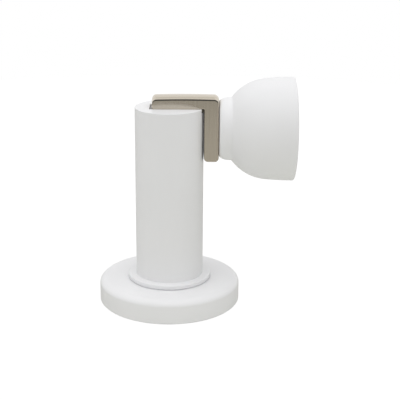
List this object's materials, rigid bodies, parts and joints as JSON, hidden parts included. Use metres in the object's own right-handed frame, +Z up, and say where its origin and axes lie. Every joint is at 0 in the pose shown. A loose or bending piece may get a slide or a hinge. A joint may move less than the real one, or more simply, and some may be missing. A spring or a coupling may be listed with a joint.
{
  "type": "magnetic door stop",
  "caption": "Floor-mounted door stop: a round post on a cover rose, with a slotted top and magnet that hold the L-shaped catch of a bell-shaped door piece.",
  "frame": {"origin": "centre of the floor screw circle, on the post's axis at floor level", "axes": "+Z up along the post, +X along the bell's axis from the post to the door"},
  "size_m": [0.0715, 0.0526, 0.0847],
  "materials": {
    "white_coat": "satin",
    "satin_nickel": "brushed satin",
    "zinc_steel": "zinc plated",
    "magnet_plating": "nickel plated",
    "bush_brass": "turned",
    "white_nylon": "matte",
    "grey_nylon": "matte"
  },
  "bodies": {
    "stand": {"post": "white_coat", "cover_rose": "white_coat", "foot_washer": "grey_nylon", "floor_plate": "zinc_steel", "centre_screw": "zinc_steel", "threaded_bush": "bush_brass", "spacer_tube": "white_nylon", "magnet_cup": "zinc_steel", "magnet": "magnet_plating"},
    "catch": {"catch": "satin_nickel", "catch_screw": "zinc_steel", "flat_washer": "zinc_steel", "spring_washer": "zinc_steel"},
    "bell": {"bell": "white_coat", "neck_bush": "white_nylon", "door_plate": "zinc_steel", "grub_screw": "zinc_steel"}
  },
  "joints": [
    {"name": "door_release", "type": "slide", "parent": "stand", "child": "catch", "axis": [1, 0, 0], "range_m": [0, 0.04]},
    {"name": "bell_swivel", "type": "hinge", "parent": "catch", "child": "bell", "pos_m": [0.0181, 0, 0.0659], "axis": [1, 0, 0], "continuous": true}
  ]
}
